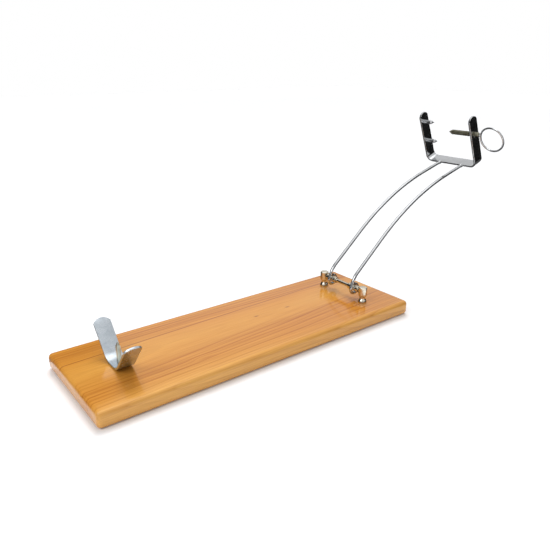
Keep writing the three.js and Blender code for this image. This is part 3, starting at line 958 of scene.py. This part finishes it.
def add_flag(name, centre, facing, width, height, shade=0.012):
    """A dark studio flag that shows only in reflections."""
    signs = ((-1, -1), (1, -1), (1, 1), (-1, 1))
    corners = [(x * width / 2, y * height / 2, 0) for x, y in signs]
    flag = mesh_object(name, corners, [(0, 1, 2, 3)])
    turn = (Vector(facing) - Vector(centre)).to_track_quat("Z", "Y").to_matrix().to_4x4()
    place(flag, Matrix.Translation(centre) @ turn)
    flag.data.materials.append(plain_material(name + "_cloth", (shade, shade, shade), 0.9))
    flag.visible_camera = False
    flag.visible_diffuse = False
    flag.visible_shadow = False


def sky(tree, height, stops, strength):
    """A background whose level depends on height above the horizon, from 0 to 1 overhead."""
    ramp = tree.nodes.new("ShaderNodeValToRGB")
    tree.links.new(height, ramp.inputs["Fac"])
    elements = ramp.color_ramp.elements
    while len(elements) < len(stops):
        elements.new(0.5)
    for element, (position, level) in zip(elements, stops):
        element.position = position
        element.color = (level, level, level * 1.01, 1)
    background = tree.nodes.new("ShaderNodeBackground")
    tree.links.new(ramp.outputs["Color"], background.inputs["Color"])
    background.inputs["Strength"].default_value = strength
    return background.outputs[0]


def light_world():
    """An even white room to light the stand, with a dark horizon and a bright ceiling for the
    plating to reflect, behind a white backdrop."""
    world = bpy.data.worlds.new("studio")
    bpy.context.scene.world = world
    world.use_nodes = True
    tree = world.node_tree
    direction = tree.nodes.new("ShaderNodeTexCoord").outputs["Generated"]
    split = tree.nodes.new("ShaderNodeSeparateXYZ")
    tree.links.new(direction, split.inputs[0])
    height = split.outputs["Z"]
    room = sky(tree, height, ((0.0, 0.50), (0.3, 0.62), (0.8, 0.90), (1.0, 1.0)), 0.88)
    dark_horizon = ((0.0, 0.03), (0.19, 0.03))
    grey_walls = ((0.31, 0.46), (0.50, 0.45), (0.82, 0.40))
    reflected = sky(tree, height, (*dark_horizon, *grey_walls, (0.93, 1.0)), 1.9)
    backdrop = tree.nodes["Background"]
    backdrop.inputs["Color"].default_value = (1, 1, 1, 1)
    rays = tree.nodes.new("ShaderNodeLightPath").outputs
    shown = room
    for ray, source in (("Is Glossy Ray", reflected), ("Is Camera Ray", backdrop.outputs[0])):
        blend = tree.nodes.new("ShaderNodeMixShader")
        tree.links.new(rays[ray], blend.inputs[0])
        tree.links.new(shown, blend.inputs[1])
        tree.links.new(source, blend.inputs[2])
        shown = blend.outputs[0]
    tree.links.new(shown, tree.nodes["World Output"].inputs["Surface"])


def add_sun():
    """A broad light from behind, which leaves a soft shadow in front of the board."""
    light = bpy.data.lights.new("back_light", "SUN")
    light.energy = 1.75
    light.angle = math.radians(32)
    lamp = bpy.data.objects.new("back_light", light)
    bpy.context.scene.collection.objects.link(lamp)
    lamp.rotation_euler = Vector((-0.35, -0.5, -1.0)).to_track_quat("-Z", "Y").to_euler()
    lamp.visible_glossy = False


def build_studio():
    """Lights, floor and flags. Two flags lie just above the floor and darken its reflection."""
    light_world()
    add_floor()
    add_sun()
    add_softbox("key", (-1.3, -0.1, 1.1), (0, 0, 0.05), (0.9, 0.7), 6)
    add_flag("flag_right", (1.15, -0.55, 0.20), (0.4, 0, 0.2), 1.2, 0.9)
    add_flag("flag_back_left", (-1.0, 1.8, 0.7), (0, 0, 0.2), 3.6, 2.4)
    add_flag("flag_floor_right", (2.29, 0, 0.2 * MM), (2.29, 0, 1), 4, 9, 0.07)
    add_flag("flag_floor_back", (-1.96, 2.35, 0.2 * MM), (-1.96, 2.35, 1), 4.5, 4.5, 0.07)
    bpy.context.scene.view_settings.view_transform = "Standard"


# ---------------------------------------------------------------- assembly


def build_stand():
    pine, zinc, nickel = pine_finish(), zinc_finish(), nickel_finish()
    polished, bronzed = polished_finish(), bronzed_finish()
    make_board(pine)
    make_cradle(zinc)
    # The spike and its tail get a paler, yellower copy of the zinc, painted lighter to stand in for the
    # sheen on the spike's facets.
    make_cradle_spike(zinc_finish("paler_zinc_painted_sheen", (0.82, 0.80, 0.66), (0.62, 0.62, 0.50)))
    make_cradle_nut(zinc)
    make_washer("cradle_washer", zinc)
    make_cross_bar(nickel)
    for where, side in SIDES:
        make_post(where, side, nickel)
        make_post_screw(where, zinc)
        make_washer(f"post_washer_{where}", zinc)
        make_rod(where, side, polished)
        make_weld(where, side, polished)
        for end in ("outer", "inner"):
            make_collar(where, end, nickel)
    make_bracket(polished)
    for where in SPIKE_HEIGHTS:
        make_clamp_spike(where, polished)
    make_screw(bronzed)
    make_ring(polished)
    make_ring_weld(polished)


add_camera()
build_studio()
build_stand()
